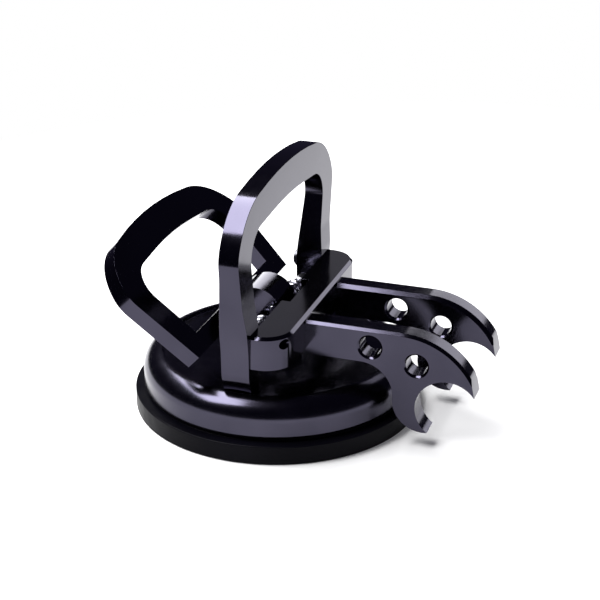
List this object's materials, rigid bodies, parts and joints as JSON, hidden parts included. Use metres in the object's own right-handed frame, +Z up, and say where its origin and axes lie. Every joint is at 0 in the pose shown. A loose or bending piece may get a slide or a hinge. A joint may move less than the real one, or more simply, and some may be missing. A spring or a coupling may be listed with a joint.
{
  "type": "vacuum suction cup",
  "caption": "Hand vacuum suction cup: rubber pad under a domed housing, fixed upright grip, sprung lever grip that lifts the pad's middle, and hooked claw arms.",
  "frame": {"origin": "centre of the rubber pad's bottom face", "axes": "+X the way the claw arms point, +Y along the lever's cross rod, +Z up"},
  "size_m": [0.1507, 0.12, 0.1055],
  "materials": {
    "cast": "smooth black anodised, semi-gloss",
    "dark_steel": "black oxide",
    "bright_steel": "ground bright",
    "rubber": "satin black"
  },
  "bodies": {
    "base": {"rubber_lip": "rubber", "housing": "cast", "bead_ring": "dark_steel", "stem_guide": "dark_steel", "guide_nut": "dark_steel", "upright_grip": "cast", "foot_screws": "dark_steel", "cross_rod": "bright_steel", "spacer_near": "bright_steel", "spacer_far": "bright_steel", "spring_near": "bright_steel", "spring_far": "bright_steel", "crossbar": "cast", "grip_screw_near": "dark_steel", "grip_screw_far": "dark_steel", "claw_arm_near": "cast", "claw_arm_far": "cast", "arm_screws_near": "dark_steel", "arm_screws_far": "dark_steel"},
    "lever": {"cam_barrel": "cast", "cam_pin": "bright_steel", "lever_grip": "cast", "lever_screws": "dark_steel"},
    "lifter": {"stem": "bright_steel", "lift_plate": "dark_steel", "lift_link": "dark_steel", "rubber_centre": "rubber"}
  },
  "joints": [
    {"name": "lever_hinge", "type": "hinge", "parent": "base", "child": "lever", "pos_m": [-0.0018, 0, 0.0375], "axis": [0, 1, 0], "range_deg": [0, 45], "stiffness_Nm_per_rad": 0.12, "springref_deg": -28.65},
    {"name": "stem_lift", "type": "slide", "parent": "base", "child": "lifter", "axis": [0, 0, 1], "range_m": [0, 0.0033]}
  ],
  "couplings": [
    {"joint": "stem_lift", "follows": "lever_hinge", "m_per_rad": 0.00414}
  ]
}
